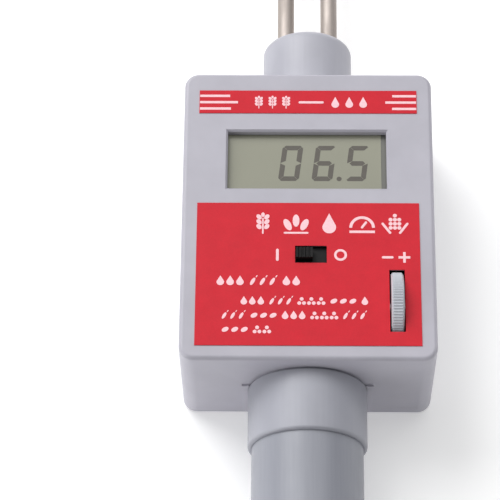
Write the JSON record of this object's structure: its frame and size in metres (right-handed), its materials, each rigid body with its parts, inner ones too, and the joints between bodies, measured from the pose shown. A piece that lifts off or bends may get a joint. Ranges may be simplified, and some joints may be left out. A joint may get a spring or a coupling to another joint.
{
  "type": "grain moisture meter",
  "caption": "Hand-held moisture meter with a display, slide switch, calibration thumbwheel, tube handle and long electrode rods that are pushed into grain.",
  "frame": {"origin": "middle of the flat back face of the housing", "axes": "+Y along the handle and probe towards the rod tips, +Z out of the display face, +X to the right of a reader with the rods pointing up"},
  "size_m": [0.078, 0.4873, 0.0472],
  "materials": {
    "housing_plastic": "moulded, lightly satin",
    "screw_steel": "plated",
    "battery_can": "printed jacket over a metal can",
    "contact_metal": "tinned",
    "foam": "closed-cell foam",
    "black_plastic": "moulded",
    "red_insulation": "soft wire sleeve",
    "white_insulation": "soft wire sleeve",
    "board_laminate": "solder-masked laminate",
    "display_glass": "bare display glass, dark behind",
    "display_film": "polarising film over a reflective display",
    "chip_epoxy": "moulded epoxy",
    "capacitor_sleeve": "shrink sleeve on a can",
    "capacitor_film": "dipped",
    "resistor_body": "lacquered",
    "trimmer_blue": "moulded",
    "brass": "tinned brass",
    "phenolic": "phenolic sheet",
    "switch_steel": "pressed",
    "knob_plastic": "moulded, ribbed",
    "wheel_plastic": "moulded, knurled",
    "label_red": "printed self-adhesive film",
    "fitting_plastic": "turned, satin",
    "rod_metal": "drawn, nickel-plated",
    "tube_metal": "grey stoved paint"
  },
  "bodies": {
    "housing": {"front_shell": "housing_plastic", "rear_cover": "housing_plastic", "cover_screws": "screw_steel", "board_screws": "screw_steel", "battery": "battery_can", "battery_terminals": "contact_metal", "display_pins": "contact_metal", "switch_terminals": "contact_metal", "potentiometer_terminals": "contact_metal", "rod_washers": "contact_metal", "battery_pad": "foam", "battery_snap": "black_plastic", "battery_lead_black": "black_plastic", "holder_nut": "black_plastic", "collar_nut": "black_plastic", "battery_lead_red": "red_insulation", "probe_lead_left": "white_insulation", "probe_lead_right": "white_insulation", "circuit_board": "board_laminate", "display_glass": "display_glass", "display_polariser": "display_film", "adc_chip": "chip_epoxy", "timer_chip": "chip_epoxy", "electrolytic_capacitors": "capacitor_sleeve", "film_capacitors": "capacitor_film", "resistors": "resistor_body", "trimmer_pot": "trimmer_blue", "trimmer_screw": "brass", "solder_lugs": "brass", "rod_nuts": "brass", "switch_base": "phenolic", "potentiometer_body": "phenolic", "switch_frame": "switch_steel", "top_label": "label_red", "main_label": "label_red", "probe_holder": "fitting_plastic", "handle_collar": "fitting_plastic", "handle_end_cap": "fitting_plastic", "probe_rod_left": "rod_metal", "probe_rod_right": "rod_metal", "handle_tube": "tube_metal"},
    "battery_door": {"battery_door": "housing_plastic"},
    "switch_slider": {"switch_knob": "knob_plastic"},
    "calibration_wheel": {"calibration_wheel": "wheel_plastic", "wheel_shaft": "switch_steel"}
  },
  "joints": [
    {"name": "battery_door_slide", "type": "slide", "parent": "housing", "child": "battery_door", "axis": [0, 1, 0], "range_m": [0, 0.05]},
    {"name": "power_switch_slide", "type": "slide", "parent": "housing", "child": "switch_slider", "axis": [1, 0, 0], "range_m": [0, 0.004]},
    {"name": "calibration_wheel_turn", "type": "hinge", "parent": "housing", "child": "calibration_wheel", "pos_m": [0.02705, -0.03015, 0.03585], "axis": [1, 0, 0], "range_deg": [-135, 135]}
  ]
}
